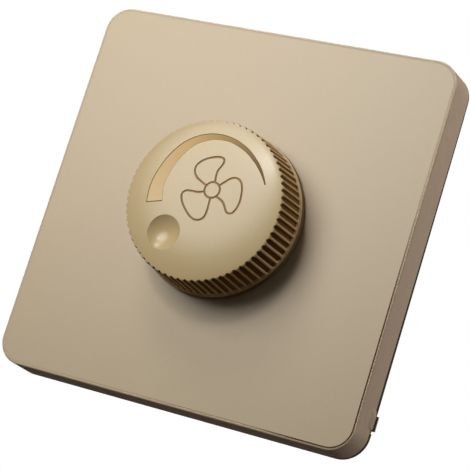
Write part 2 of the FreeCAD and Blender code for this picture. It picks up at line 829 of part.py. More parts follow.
def choke_winding():
    y0 = board_front_y - choke_height + choke_flange + winding_gap
    y1 = board_front_y - choke_flange - winding_gap
    coil = rod(winding_r, y0, y1, choke_x, choke_z)
    return coil.cut(rod(choke_core_r + winding_gap, y0 - past, y1 + past, choke_x, choke_z))


def heat_sink():
    top = sink_z + sink_thickness
    plate = block(sink_left, sink_right, sink_y, board_front_y, sink_z, top)
    low = sink_z - sink_return
    returns = [block(sink_left, sink_left + sink_thickness, sink_y, board_front_y, low, top),
               block(sink_right - sink_thickness, sink_right, sink_y, board_front_y, low, top)]
    hole = upright_rod(tab_hole_r, sink_z - past, top + past, triac_x, tab_hole_y)
    return plate.fuse(returns).cut(hole).removeSplitter()


def triac():
    """Moulded body, metal tab on the heat sink and three legs to the board."""
    y0, y1 = tab_y + tab_length, board_front_y - triac_stand
    half = triac_width / 2
    body = block(triac_x - half, triac_x + half, y0, y1, sink_z - triac_thickness, sink_z)
    tab = block(triac_x - half, triac_x + half, tab_y, y0, sink_z - tab_thickness, sink_z)
    legs = []
    z = sink_z - triac_thickness / 2
    for i in (-1, 0, 1):
        x = triac_x + i * leg_pitch
        legs.append(block(x - leg_width / 2, x + leg_width / 2, y1, board_front_y,
                          z - leg_thickness / 2, z + leg_thickness / 2))
    hole = upright_rod(tab_hole_r, sink_z - tab_thickness - past, sink_z + past, triac_x, tab_hole_y)
    return body.fuse([tab] + legs).cut(hole).removeSplitter()


def triac_screw():
    low = sink_z - tab_thickness
    top = sink_z + sink_thickness + triac_nut_height
    head = upright_rod(triac_screw_head_r, low - triac_screw_head, low, triac_x, tab_hole_y)
    return head.fuse(upright_rod(triac_screw_r, low, top, triac_x, tab_hole_y)).removeSplitter()


def triac_nut():
    nut = hex_nut(triac_nut_flats, triac_screw_r + tail_clear, 0, triac_nut_height)
    nut.rotate(Vector(0, 0, 0), Vector(1, 0, 0), 90)
    return nut.translated(Vector(triac_x, tab_hole_y, sink_z + sink_thickness))


def capacitor(side, side_gap, low_gap, width, thickness, height):
    """Boxed capacitor on the lower half of the board, on one side of it."""
    x = side * (board_half_x - side_gap - width / 2)
    z = low_gap + thickness / 2 - board_half_z
    box = block(x - width / 2, x + width / 2, board_front_y - height, board_front_y,
                z - thickness / 2, z + thickness / 2)
    upright = [e for e in box.Edges if e.BoundBox.YLength > height / 2]
    return box.makeFillet(capacitor_round, upright)


def axial_part(x, z, r, length, span):
    """Body that lies along Z on the board, with a lead bent down at each end."""
    y = board_front_y - lead_stand - r
    body = upright_rod(r, z - length / 2, z + length / 2, x, y)
    low, high = z - span / 2, z + span / 2
    leads = [upright_rod(lead_r, low, high, x, y)]
    for end in (low, high):
        leads.append(rod(lead_r, y, board_front_y, x, end))
    return body.fuse(leads).removeSplitter()


def resistors():
    solids = []
    for i in range(resistor_count):
        x = resistor_side_gap + i * resistor_pitch - board_half_x
        solids.append(axial_part(x, resistor_z, resistor_r, resistor_length, resistor_span))
    return Part.makeCompound(solids)


def trigger_diode():
    return axial_part(board_half_x - diac_side_gap, diac_z, diac_r, diac_length, diac_span)


def fuse():
    return axial_part(board_half_x - fuse_side_gap, fuse_z, fuse_r, fuse_length, fuse_span)


def wire_clamps():
    half_x, half_z = clamp_width / 2, clamp_height / 2
    clamp = block(terminal_x - half_x, terminal_x + half_x, board_rear_y, housing_inner_y,
                  terminal_z - half_z, terminal_z + half_z)
    bore = rod(clamp_bore_r, board_rear_y - past, housing_inner_y + past, terminal_x, terminal_z)
    thread = upright_rod(clamp_screw_r + clamp_thread_gap, terminal_z - half_z - past, terminal_z,
                         terminal_x, clamp_y)
    return Part.makeCompound(both_sides(clamp.cut([bore, thread])))


def clamp_screws():
    face = terminal_z - clamp_height / 2
    tip = terminal_z - clamp_bore_r - clamp_tip_gap
    head = upright_rod(clamp_screw_head_r, face - clamp_screw_head, face, terminal_x, clamp_y)
    slot = block(terminal_x - clamp_screw_head_r, terminal_x + clamp_screw_head_r,
                 clamp_y - cross_width / 2, clamp_y + cross_width / 2,
                 face - clamp_screw_head, face - clamp_screw_head + cross_depth)
    shank = upright_rod(clamp_screw_r, face, tip, terminal_x, clamp_y)
    return Part.makeCompound(both_sides(head.fuse(shank).cut(slot).removeSplitter()))


parts = {
    "cover_plate": cover_plate(),
    "mounting_frame": mounting_frame(),
    "rear_housing": rear_housing(),
    "housing_screws": housing_screws(),
    "circuit_board": circuit_board(),
    "control_bushing": control_bushing(),
    "control_can": control_can(),
    "resistance_wafer": resistance_wafer(),
    "carbon_track": carbon_track(),
    "control_strips": control_strips(),
    "switch_can": switch_can(),
    "switch_base": switch_base(),
    "switch_strips": switch_strips(),
    "switch_leaf": switch_leaf(),
    "lock_washer": tube(washer_r, bushing_r + shaft_clear, washer_y, frame_front_y),
    "panel_nut": hex_nut(nut_across_flats, bushing_r + shaft_clear, nut_y, washer_y),
    "choke_core": choke_core(),
    "choke_winding": choke_winding(),
    "heat_sink": heat_sink(),
    "triac": triac(),
    "triac_screw": triac_screw(),
    "triac_nut": triac_nut(),
    "film_capacitor": capacitor(1, *film_capacitor),
    "small_capacitor": capacitor(-1, *small_capacitor),
    "resistors": resistors(),
    "trigger_diode": trigger_diode(),
    "fuse": fuse(),
    "wire_clamps": wire_clamps(),
    "clamp_screws": clamp_screws(),
    "knob_cap": knob_cap(),
    "knob_spring": knob_spring(),
    "control_shaft": control_shaft(),
    "retaining_ring": retaining_ring(),
    "rotor": rotor(),
    "wiper": wiper(),
    "switch_cam": switch_cam(),
}

os.makedirs("parts", exist_ok=True)
for name, shape in parts.items():
    shape.exportStep("parts/" + name + ".step")
    print(name, len(shape.Solids), "solid", round(shape.Volume, 2), "mm3", shape.isValid())
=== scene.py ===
import math

import bmesh
import bpy
from mathutils import Matrix, Vector


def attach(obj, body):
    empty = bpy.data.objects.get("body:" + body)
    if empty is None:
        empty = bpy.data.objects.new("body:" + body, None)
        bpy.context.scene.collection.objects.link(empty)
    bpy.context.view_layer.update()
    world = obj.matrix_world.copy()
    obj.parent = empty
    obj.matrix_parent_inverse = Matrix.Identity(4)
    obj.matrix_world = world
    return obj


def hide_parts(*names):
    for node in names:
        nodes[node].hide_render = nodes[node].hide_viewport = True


mm = 0.001

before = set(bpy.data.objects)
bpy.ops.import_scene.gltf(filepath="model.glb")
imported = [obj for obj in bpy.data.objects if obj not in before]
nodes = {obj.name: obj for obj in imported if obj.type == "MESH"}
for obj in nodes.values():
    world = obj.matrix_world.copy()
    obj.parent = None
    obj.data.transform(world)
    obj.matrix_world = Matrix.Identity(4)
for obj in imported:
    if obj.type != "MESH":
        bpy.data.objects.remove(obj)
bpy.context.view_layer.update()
print("frame loaded:", len(nodes), "pieces")


# working in edit mode

def justThis(piece):  # the only selected object, in object mode
    if bpy.context.mode != "OBJECT":
        bpy.ops.object.mode_set(mode="OBJECT")
    bpy.ops.object.select_all(action="DESELECT")
    piece.select_set(True)
    bpy.context.view_layer.objects.active = piece


def startEdit(piece):
    justThis(piece)
    bpy.ops.object.mode_set(mode="EDIT")
    bpy.ops.mesh.select_mode(type="VERT")


def endEdit():
    bpy.ops.object.mode_set(mode="OBJECT")


def pick(piece, rule, what="verts"):  # selects by place or normal, and says how many
    kinds = {"verts": "VERT", "edges": "EDGE", "faces": "FACE"}
    bpy.ops.mesh.select_mode(type=kinds[what])
    bpy.ops.mesh.select_all(action="DESELECT")
    shape = bmesh.from_edit_mesh(piece.data)
    chosen = [item for item in getattr(shape, what) if rule(item)]
    for item in chosen:
        item.select_set(True)
    shape.select_flush(True)
    bmesh.update_edit_mesh(piece.data)
    return len(chosen)


def giveFinish(piece, index, rule):  # a material slot for the faces that fit the rule
    count = pick(piece, rule, "faces")
    piece.active_material_index = index
    bpy.ops.object.material_slot_assign()
    return count


def named(name):  # the primitive just added, with its place moved into its mesh
    piece = bpy.context.object
    piece.name = name
    piece.data.name = name
    bpy.ops.object.transform_apply(location=True, rotation=True, scale=True)
    return piece


def extrudeBy(x, y, z):
    bpy.ops.mesh.extrude_region_move(TRANSFORM_OT_translate={"value": (x, y, z)})


def fixNormals():
    bpy.ops.mesh.select_all(action="SELECT")
    bpy.ops.mesh.remove_doubles(threshold=0.0005 * mm)
    bpy.ops.mesh.normals_make_consistent(inside=False)


def cutWith(piece, tool, operation="DIFFERENCE"):  # the tool is used up
    justThis(piece)
    cut = piece.modifiers.new("cut", "BOOLEAN")
    cut.operation = operation
    cut.solver = "EXACT"
    cut.material_mode = "TRANSFER"
    cut.object = tool
    bpy.ops.object.modifier_apply(modifier="cut")
    bpy.data.objects.remove(tool, do_unlink=True)


def softShading(piece, angle):
    justThis(piece)
    bpy.ops.object.shade_smooth_by_angle(angle=math.radians(angle))


# shader maths

class Wire:  # a socket that takes part in sums
    def __init__(self, finish, socket):
        self.finish = finish
        self.socket = socket

    def sum(self, operation, *values):
        return self.finish.add("ShaderNodeMath", {"operation": operation}, dict(enumerate(values)))

    def __add__(self, other):
        return self.sum("ADD", self, other)

    def __radd__(self, other):
        return self.sum("ADD", other, self)

    def __sub__(self, other):
        return self.sum("SUBTRACT", self, other)

    def __rsub__(self, other):
        return self.sum("SUBTRACT", other, self)

    def __mul__(self, other):
        return self.sum("MULTIPLY", self, other)

    def held(self, low, high):  # straight ramp from low to high, kept between 0 and 1
        return self.finish.add("ShaderNodeMapRange", {"clamp": True},
                               {"Value": self, "From Min": low, "From Max": high})


class Finish:  # one procedural material
    def __init__(self, name, colour, roughness=0.5, metallic=0.0, specular=0.5, coat=0.0, coatRoughness=0.2):
        self.material = bpy.data.materials.new(name)
        self.material.use_nodes = True
        self.tree = self.material.node_tree
        self.tree.nodes.clear()
        output = self.tree.nodes.new("ShaderNodeOutputMaterial")
        self.shader = self.tree.nodes.new("ShaderNodeBsdfPrincipled")
        self.tree.links.new(self.shader.outputs[0], output.inputs["Surface"])
        for socket, value in (("Base Color", colour), ("Roughness", roughness), ("Metallic", metallic),
                              ("Specular IOR Level", specular), ("Coat Weight", coat),
                              ("Coat Roughness", coatRoughness)):
            self.feed(socket, value)
        self.place = self.add("ShaderNodeTexCoord", {}, {}, "Object")

    def add(self, kind, settings, inputs, output=0):  # any node: its settings first, then its sockets
        node = self.tree.nodes.new(kind)
        for name, value in settings.items():
            if name == "stops":
                self.setStops(node.color_ramp, value)
            else:
                setattr(node, name, value)
        for name, value in inputs.items():
            self.join(node.inputs[name], value)
        return Wire(self, node.outputs[output])

    def setStops(self, ramp, stops):
        while len(ramp.elements) < len(stops):
            ramp.elements.new(0.5)
        for element, (position, shade) in zip(ramp.elements, stops):
            element.position = position
            element.color = (*shade, 1)

    def join(self, socket, value):
        if isinstance(value, Wire):
            self.tree.links.new(value.socket, socket)
        elif socket.type == "RGBA":
            socket.default_value = (*value, 1)
        else:
            socket.default_value = value

    def feed(self, name, value):
        self.join(self.shader.inputs[name], value)

    def noise(self, size, detail=2.0, roughness=0.5, stretch=(1, 1, 1)):  # size of a grain in mm
        where = self.place
        if stretch != (1, 1, 1):
            where = self.add("ShaderNodeMapping", {}, {"Vector": where, "Scale": stretch})
        return self.add("ShaderNodeTexNoise", {}, {"Vector": where, "Scale": 1 / (size * mm),
                                                   "Detail": detail, "Roughness": roughness})

    def cells(self, size, what="Distance"):
        return self.add("ShaderNodeTexVoronoi", {}, {"Vector": self.place, "Scale": 1 / (size * mm)}, what)

    def along(self, axis):  # one coordinate of the piece, in metres
        return self.add("ShaderNodeSeparateXYZ", {}, {0: self.place}, axis)

    def blend(self, share, first, second):
        return self.add("ShaderNodeMix", {"data_type": "RGBA"}, {0: share, 6: first, 7: second}, 2)

    def bump(self, height, depth, under=None):  # depth in mm
        inputs = {"Height": height, "Distance": depth * mm, "Strength": 1.0}
        if under is not None:
            inputs["Normal"] = under
        return self.add("ShaderNodeBump", {}, inputs)


def fromScreen(red, green, blue):  # a colour as read on a screen, 0 to 255
    def one(value):
        value /= 255
        return value / 12.92 if value <= 0.04045 else ((value + 0.055) / 1.055) ** 2.4
    return (one(red), one(green), one(blue))


def darker(colour, share):
    return tuple(part * share for part in colour)


# finishes

champagneLook = {
    "plate": (0.535, 0.43, 0.289), "plateRoughness": 0.38, "plateGloss": 0.34,
    "side": (0.49, 0.375, 0.28), "sidePink": (0.48, 0.36, 0.278), "sideGreen": (0.455, 0.36, 0.25),
    # the sides' colours are a little darker than the face: painted shade; the dark rear colour is a painted
    # shadow of the gap to the frame
    "rearPaintedShade": (0.035, 0.026, 0.016), "rearLineFrom": -0.95, "rearLineTo": -0.70, "rearLineWidens": 0.8,
    # the edge line colour is painted shade in the gap beside the face
    "edgeLine": (0.13, 0.078, 0.034), "edgeLineFrom": 94, "edgeLineTo": 120,
    "knob": (0.48, 0.354, 0.165), "knobRoughness": 0.29, "knobGloss": 0.45, "knobCoat": 0.11,
    # the knob side colour is painted lighter as a painted highlight on the ridges; the ring colour is
    # painted shade on the knob's base ring
    "knobSide": (0.56, 0.40, 0.23), "ring": (0.15, 0.09, 0.038), "ringShadeFull": 11.08, "ringShadeEnd": 11.2,
    # the groove colours are painted shade in the knurl, darkest at its floor and lighter just under the dome
    "groove": (0.19, 0.10, 0.032), "grooveFloorShade": (0.14, 0.07, 0.02), "floorFrom": 17.9, "floorTo": 17.4,
    "grooveTip": (0.32, 0.20, 0.08), "tipFrom": 19.9, "tipTo": 20.6,
    "flakeSize": 0.11, "grainSize": 0.45,
}


def metallicPaint(name, colour, roughness, gloss, look, coat=0.0):
    paint = Finish(name, colour, roughness, specular=gloss, coat=coat, coatRoughness=0.16)
    flakes = paint.cells(look["flakeSize"], "Color")
    flake = paint.add("ShaderNodeSeparateColor", {}, {0: flakes}, 0)
    cloud = paint.noise(9.0, 3.0)
    tone = paint.blend(flake, darker(colour, 0.955), darker(colour, 1.045))
    tone = paint.blend(cloud.held(0.35, 0.65) * 0.5, tone, darker(colour, 0.985))
    paint.feed("Base Color", tone)
    grain = paint.noise(look["grainSize"], 2.0)
    paint.feed("Roughness", roughness - 0.03 + grain * 0.06)
    peel = paint.bump(paint.noise(2.2, 1.0), 0.012)
    paint.feed("Normal", paint.bump(grain, 0.010, under=peel))
    return paint


def mouldedPlastic(name, colour, roughness, grain=0.35, depth=0.015, specular=0.5):
    plastic = Finish(name, colour, roughness, specular=specular)
    texture = plastic.noise(grain, 3.0)
    cloud = plastic.noise(7.0, 2.0)
    plastic.feed("Base Color", plastic.blend(cloud, darker(colour, 0.85), darker(colour, 1.15)))
    plastic.feed("Roughness", roughness - 0.06 + texture * 0.12)
    plastic.feed("Normal", plastic.bump(texture, depth))
    return plastic


def bareMetal(name, colour, roughness, stretch=(1, 1, 1), grain=0.25, stain=None):
    metal = Finish(name, colour, roughness, 1.0)
    lines = metal.noise(grain, 4.0, 0.6, stretch)
    cloud = metal.noise(4.0, 3.0)
    metal.feed("Base Color", metal.blend(cloud.held(0.4, 0.7), colour, stain or darker(colour, 0.82)))
    metal.feed("Roughness", roughness - 0.08 + lines * 0.2)
    metal.feed("Normal", metal.bump(lines, 0.006))
    return metal


def sidePaint(look):  # rough paint on the drafted sides, a little darker than the face as painted shade, blotchy, with a painted shadow along its rear edge
    paint = Finish("champagneSide", look["side"], 0.7, specular=0.02)
    warm, cool = paint.noise(2.6, 3.0), paint.noise(1.7, 3.0, stretch=(1, 1, 0.6))
    tone = paint.blend(warm.held(0.42, 0.62), look["side"], look["sidePink"])
    tone = paint.blend(cool.held(0.50, 0.66) * 0.8, tone, look["sideGreen"])
    # painted shadow of the gap to the black frame: along the rear edge on the right side, wider towards the
    # bottom
    low = paint.along(2).held(30 * mm, -30 * mm) * look["rearLineWidens"] * mm  # downwards
    rear = (paint.along(1) + low).held(look["rearLineFrom"] * mm, look["rearLineTo"] * mm)
    right = paint.along(0).held(30 * mm, 40 * mm)
    paint.feed("Base Color", paint.blend(rear * right, tone, look["rearPaintedShade"]))
    paint.feed("Roughness", 0.62 + warm * 0.2)
    paint.feed("Normal", paint.bump(paint.noise(0.35, 3.0), 0.02))
    return paint


def edgeShadeLinePaint(look):  # painted shade in the gap beside the face, which shows only towards the lower right corner
    paint = Finish("plateEdgeLinePaintedShade", look["edgeLine"], 0.6, specular=0.1)
    reach = paint.along(0) * 2.5 - paint.along(2)
    speck = paint.noise(0.8, 2.0)
    share = (reach + speck * (8 * mm)).held(look["edgeLineFrom"] * mm, look["edgeLineTo"] * mm)
    paint.feed("Base Color", paint.blend(share, look["plate"], look["edgeLine"]))
    paint.feed("Roughness", 0.5 + speck * 0.2)
    paint.feed("Normal", paint.bump(speck, 0.01))
    return paint


def knobSidePaintedLight(look):  # the same gold, matt and painted lighter on the ridges as a painted highlight, with painted shade on the base ring
    paint = Finish("knurlRidges", look["knobSide"], 0.5, specular=0.0)
    speck = paint.noise(0.6, 3.0)
    ring = (paint.along(1) * -1.0).held(look["ringShadeEnd"] * mm, look["ringShadeFull"] * mm)  # painted shade on the base ring, stopping under its top chamfer
    tone = paint.blend(speck, darker(look["knobSide"], 0.85), darker(look["knobSide"], 1.15))
    paint.feed("Base Color", paint.blend(ring, tone, look["ring"]))
    paint.feed("Roughness", 0.42 + speck * 0.16)
    paint.feed("Normal", paint.bump(speck, 0.012))
    return paint


def grooveShadePaint(look):  # painted shade: dark brown in the knurl, darker towards its floor
    paint = Finish("knurlPaintedShade", look["groove"], 0.6, specular=0.0)
    around = paint.add("ShaderNodeVectorMath", {"operation": "MULTIPLY"}, {0: paint.place, 1: (1, 0, 1)})
    radius = paint.add("ShaderNodeVectorMath", {"operation": "LENGTH"}, {0: around}, 1)
    speck = paint.noise(0.5, 3.0)
    deep = (radius + speck * (0.2 * mm)).held(look["floorFrom"] * mm, look["floorTo"] * mm)
    tone = paint.blend(deep, look["groove"], look["grooveFloorShade"])
    tip = (paint.along(1) * -1.0).held(look["tipFrom"] * mm, look["tipTo"] * mm)  # painted lighter under the dome, where the slots' ends would show dark shade
    paint.feed("Base Color", paint.blend(tip, tone, look["grooveTip"]))
    paint.feed("Roughness", 0.5 + speck * 0.2)
    paint.feed("Normal", paint.bump(speck, 0.01))
    return paint


platePaint = metallicPaint("champagnePaint", champagneLook["plate"], champagneLook["plateRoughness"],
                           champagneLook["plateGloss"], champagneLook)
knobPaint = metallicPaint("goldKnobPaint", champagneLook["knob"], champagneLook["knobRoughness"],
                          champagneLook["knobGloss"], champagneLook, champagneLook["knobCoat"])
plateSide = sidePaint(champagneLook)
edgeLine = edgeShadeLinePaint(champagneLook)
knurlPaintedShade = grooveShadePaint(champagneLook)
knurlRidge = knobSidePaintedLight(champagneLook)

arcLook = {
    "thick": fromScreen(226, 198, 154), "top": fromScreen(202, 168, 114), "bend": fromScreen(168, 136, 82),
    "thin": fromScreen(112, 82, 42), "line": fromScreen(150, 120, 74), "border": fromScreen(116, 84, 44),
}


def arcPaint(look):
    paint = Finish("arcInlay", look["thick"], 0.5, specular=0.12)
    around = paint.add("ShaderNodeMath", {"operation": "ARCTAN2"},
                       {0: paint.along(2), 1: paint.along(0) * -1.0})
    turn = around.held(-0.3, 2.75)  # radians, from the thick end at the left over the top to the thin end
    stops = [(0.0, look["thick"]), (0.42, look["top"]), (0.62, look["bend"]), (0.88, look["thin"])]
    tone = paint.add("ShaderNodeValToRGB", {"stops": stops}, {0: turn})
    speck = paint.noise(0.3, 2.0)
    paint.feed("Base Color", paint.blend(speck.held(0.3, 0.7) * 0.12, tone, look["top"]))
    paint.feed("Roughness", 0.36 + speck * 0.12)
    paint.feed("Normal", paint.bump(speck, 0.01))
    return paint


arcFill = arcPaint(arcLook)
signLine = mouldedPlastic("fanSignLine", arcLook["line"], 0.55, specular=0.2)
arcBorder = mouldedPlastic("arcBorder", arcLook["border"], 0.55, specular=0.15)

frameLook = {
    "black": (0.018, 0.017, 0.016), "lug": (0.30, 0.225, 0.15), "lugFrom": 42.85, "lugBelow": -30.0,
}


def frameNylon(look):  # black, with some paint of the cover on the pry lug
    nylon = Finish("blackNylon", look["black"], 0.55)
    texture = nylon.noise(0.35, 3.0)
    side = nylon.along(0).held(look["lugFrom"] * mm, (look["lugFrom"] + 0.05) * mm)
    lug = side * nylon.along(2).held(look["lugBelow"] * mm, (look["lugBelow"] - 0.5) * mm)
    black = nylon.blend(texture, darker(look["black"], 0.8), darker(look["black"], 1.2))
    nylon.feed("Base Color", nylon.blend(lug, black, look["lug"]))
    nylon.feed("Roughness", 0.49 + texture * 0.12)
    nylon.feed("Normal", nylon.bump(texture, 0.015))
    return nylon


nylonBlack = frameNylon(frameLook)
housingBlack = mouldedPlastic("blackHousing", (0.022, 0.021, 0.020), 0.48, grain=0.5, depth=0.02)
whiteNylon = mouldedPlastic("whiteNylon", (0.72, 0.70, 0.65), 0.45, depth=0.008)
phenolic = mouldedPlastic("brownPhenolic", (0.20, 0.095, 0.035), 0.5, grain=1.2)
blackEpoxy = mouldedPlastic("blackEpoxy", (0.03, 0.03, 0.032), 0.42, grain=0.2, depth=0.006)
yellowCase = mouldedPlastic("yellowCapacitorCase", (0.80, 0.50, 0.06), 0.25, grain=2.0, depth=0.01)
redDip = mouldedPlastic("redCapacitorDip", (0.42, 0.09, 0.03), 0.18, grain=2.5, depth=0.03)
ferrite = mouldedPlastic("darkFerrite", (0.045, 0.043, 0.045), 0.6, grain=0.25, depth=0.02)
carbon = mouldedPlastic("carbonTrack", (0.012, 0.012, 0.013), 0.35, grain=0.15, depth=0.004)

brightSteel = bareMetal("zincedSteel", (0.62, 0.62, 0.60), 0.32, stain=(0.52, 0.53, 0.50))
dieCast = bareMetal("dieCastZinc", (0.50, 0.50, 0.51), 0.42, grain=0.6)
brass = bareMetal("turnedBrass", (0.78, 0.57, 0.24), 0.30, (1, 12, 1))
tinned = bareMetal("tinnedStrip", (0.70, 0.70, 0.68), 0.28)
aluminium = bareMetal("millAluminium", (0.72, 0.73, 0.74), 0.38, (1, 1, 14), grain=0.8)

boardLook = {"green": (0.020, 0.11, 0.035), "copperShade": (0.045, 0.19, 0.06), "tracks": 3.2}


def circuitLacquer(look):
    board = Finish("greenLacquer", look["green"], 0.3, specular=0.5)
    net = board.cells(look["tracks"])
    weave = board.noise(0.5, 1.0)
    board.feed("Base Color", board.blend(net.held(0.28, 0.34), look["copperShade"], look["green"]))
    board.feed("Roughness", 0.26 + weave * 0.12)
    board.feed("Normal", board.bump(net.held(0.28, 0.34), 0.03, under=board.bump(weave, 0.01)))
    return board


def woundCopper():
    copper = Finish("enamelledCopper", (0.62, 0.22, 0.07), 0.25, 0.9, coat=0.4)
    wave = {"wave_type": "BANDS", "bands_direction": "Y", "wave_profile": "SIN"}
    turnsAndShade = copper.add("ShaderNodeTexWave", wave,
                       {"Vector": copper.place, "Scale": 0.5 / (0.45 * mm), "Distortion": 0.3}, 1)
    # the colour is darker between the wires and lighter on them: painted shade
    copper.feed("Base Color", copper.blend(turnsAndShade, (0.30, 0.09, 0.03), (0.70, 0.27, 0.09)))
    copper.feed("Roughness", 0.42 - turnsAndShade * 0.15)
    copper.feed("Normal", copper.bump(turnsAndShade, 0.10))
    return copper


def wiredBody(name, colour, body, wire):  # body colour inside a length, tin outside it
    coat = Finish(name, colour, 0.3)
    reach = coat.add("ShaderNodeMath", {"operation": "ABSOLUTE"}, {0: coat.along(2) - body["middle"] * mm})
    past = reach.held((body["half"] - 0.02) * mm, (body["half"] + 0.02) * mm)
    tone = coat.blend(past, colour, wire)
    for middle, halfWidth, shade in body["bands"]:
        off = coat.add("ShaderNodeMath", {"operation": "ABSOLUTE"},
                       {0: coat.along(2) - (body["middle"] + middle) * mm})
        tone = coat.blend(off.held((halfWidth + 0.05) * mm, halfWidth * mm), tone, shade)
    speck = coat.noise(0.6, 2.0)
    coat.feed("Base Color", tone)
    coat.feed("Metallic", past)
    coat.feed("Roughness", 0.24 + speck * 0.12)
    coat.feed("Normal", coat.bump(speck, 0.01))
    return coat


tinnedWire = (0.66, 0.66, 0.64)
fuseCap = (0.55, 0.55, 0.53)
resistorBody = {  # middle and half length in mm, then each band's place, half width and colour
    "middle": -9.1, "half": 3.25,
    "bands": [(-2.1, 0.35, (0.16, 0.06, 0.02)), (-0.9, 0.35, (0.01, 0.01, 0.01)),
              (0.3, 0.35, (0.75, 0.22, 0.02)), (2.0, 0.35, (0.6, 0.4, 0.1))],
}
diodeBody = {"middle": -2.0, "half": 2.0, "bands": []}
fuseBody = {"middle": 4.5, "half": 4.75, "bands": [(-4.2, 0.55, fuseCap), (4.2, 0.55, fuseCap)]}

boardGreen = circuitLacquer(boardLook)
copperWinding = woundCopper()
resistorCoat = wiredBody("beigeResistorCoat", (0.62, 0.45, 0.26), resistorBody, tinnedWire)
diodeGlass = wiredBody("blueDiodeGlaze", (0.05, 0.13, 0.42), diodeBody, tinnedWire)
fuseCoat = wiredBody("fuseBody", (0.60, 0.58, 0.50), fuseBody, tinnedWire)

finishOf = {
    "mounting_frame": nylonBlack, "rear_housing": housingBlack, "housing_screws": brightSteel,
    "circuit_board": boardGreen, "control_bushing": dieCast, "control_can": brightSteel,
    "resistance_wafer": phenolic, "carbon_track": carbon, "control_strips": tinned,
    "switch_can": brightSteel, "switch_base": phenolic, "switch_strips": tinned, "switch_leaf": brass,
    "lock_washer": brightSteel, "panel_nut": brightSteel,
    "choke_core": ferrite, "choke_winding": copperWinding, "heat_sink": aluminium,
    "triac": blackEpoxy, "triac_screw": brightSteel, "triac_nut": brightSteel, "film_capacitor": yellowCase,
    "small_capacitor": redDip, "resistors": resistorCoat, "trigger_diode": diodeGlass, "fuse": fuseCoat,
    "wire_clamps": brass, "clamp_screws": brightSteel, "knob_spring": brightSteel, "control_shaft": brass,
    "retaining_ring": brightSteel, "rotor": whiteNylon, "wiper": brass, "switch_cam": whiteNylon,
    "cover_plate": platePaint, "knob_cap": knobPaint,
}
for nodeName, finish in finishOf.items():
    slots = nodes[nodeName].data.materials
    for index in range(len(slots)):
        slots[index] = finish.material
    if not len(slots):
        slots.append(finish.material)
print("finishes ready:", len(finishOf))


# cover plate: the moulding, with the fine line round its face

plateLook = {
    "frontY": -9.35, "land": 0.02, "lineWidth": 0.34, "lineDepth": 0.15,
    "gapFrom": 5.0, "gapTo": 76.0, "gapSteps": 8,  # where the gap opens, by x minus z
    "holeClear": 30,  # the line is further out than this, and the round hole nearer
}


def makeCoverPlate(look):
    justThis(nodes["cover_plate"])
    bpy.ops.object.duplicate()
    plate = bpy.context.object
    plate.name = plate.data.name = "coverPlate"
    for extra in (plateSide, edgeLine):
        plate.data.materials.append(extra.material)
    bpy.ops.mesh.customdata_custom_splitnormals_clear()
    startEdit(plate)
    bpy.ops.mesh.select_all(action="SELECT")
    bpy.ops.mesh.remove_doubles(threshold=0.002 * mm)
    bpy.ops.mesh.dissolve_limited(angle_limit=math.radians(0.5))
    front = look["frontY"] * mm
    print("  side faces:", giveFinish(plate, 1, lambda face: face.normal.y > -0.5))

    def onFace(face):
        return face.normal.y < -0.999 and abs(face.calc_center_median().y - front) < 0.01 * mm

    pick(plate, onFace, "faces")
    bpy.ops.mesh.inset(thickness=look["land"] * mm, use_even_offset=True)
    bpy.ops.mesh.inset(thickness=look["lineWidth"] / 2 * mm, use_even_offset=True)

    def spot(vert):
        return round(vert.co.x / mm, 3), round(vert.co.z / mm, 3)

    middle = {spot(vert) for vert in bmesh.from_edit_mesh(plate.data).verts if vert.select}
    bpy.ops.mesh.inset(thickness=look["lineWidth"] / 2 * mm, use_even_offset=True)

    def lineMiddle(vert):  # vertices half way across the line, outside the round hole
        return max(abs(vert.co.x), abs(vert.co.z)) > look["holeClear"] * mm and spot(vert) in middle

    steps = look["gapSteps"]
    for step in range(1, steps + 1):  # the gap opens towards the lower right corner
        least = look["gapFrom"] + (look["gapTo"] - look["gapFrom"]) * (step - 0.5) / steps
        pick(plate, lambda vert: lineMiddle(vert) and vert.co.x - vert.co.z > least * mm)
        bpy.ops.transform.translate(value=(0, look["lineDepth"] / steps * mm, 0))
    print("  line faces:", giveFinish(plate, 2, lambda face: any(lineMiddle(vert) for vert in face.verts)))
    # the flat face keeps its own shading beside the line
    pick(plate, lambda edge: len({face.material_index == 2 for face in edge.link_faces}) == 2, "edges")
    bpy.ops.mesh.mark_sharp()
    endEdit()
    softShading(plate, 28)
    return plate


pryLook = {"inside": 42.7, "reach": 43.43, "frontReach": 42.73, "front": -4.2, "rear": -1.27,
           "bottom": -36.3, "top": -30.6, "slopeBelow": 1.0, "slopeAbove": 2.0, "round": 0.45}


def makePryLip(plate, look):  # the side swells out a little in front of the pry lug
    spans = [(look["inside"], look["reach"]), (look["front"], look["rear"]), (look["bottom"], look["top"])]
    bpy.ops.mesh.primitive_cube_add(size=1, location=[(low + high) / 2 * mm for low, high in spans])
    bpy.context.object.scale = [(high - low) * mm for low, high in spans]
    lip = named("pryLip")
    lip.data.materials.append(plateSide.material)
    startEdit(lip)
    centre = (look["bottom"] + look["top"]) / 2 * mm

    def outside(vert):
        return vert.co.x > (look["reach"] - 0.01) * mm

    def inFront(vert):
        return vert.co.y < (look["front"] + 0.01) * mm

    pick(lip, lambda vert: outside(vert) and vert.co.z > centre)
    bpy.ops.transform.translate(value=(0, 0, -look["slopeAbove"] * mm))
    pick(lip, lambda vert: outside(vert) and vert.co.z < centre)
    bpy.ops.transform.translate(value=(0, 0, look["slopeBelow"] * mm))
    pick(lip, lambda vert: outside(vert) and inFront(vert))
    bpy.ops.transform.translate(value=((look["frontReach"] - look["reach"]) * mm, 0, 0))
    pick(lip, lambda edge: any(outside(vert) for vert in edge.verts)
         and any(inFront(vert) for vert in edge.verts), "edges")
    bpy.ops.mesh.bevel(offset=look["round"] * mm, segments=4)
    endEdit()
    softShading(lip, 40)
    justThis(plate)
    lip.select_set(True)
    bpy.ops.object.join()


coverPlate = makeCoverPlate(plateLook)
makePryLip(coverPlate, pryLook)
print("cover plate made")


# knob

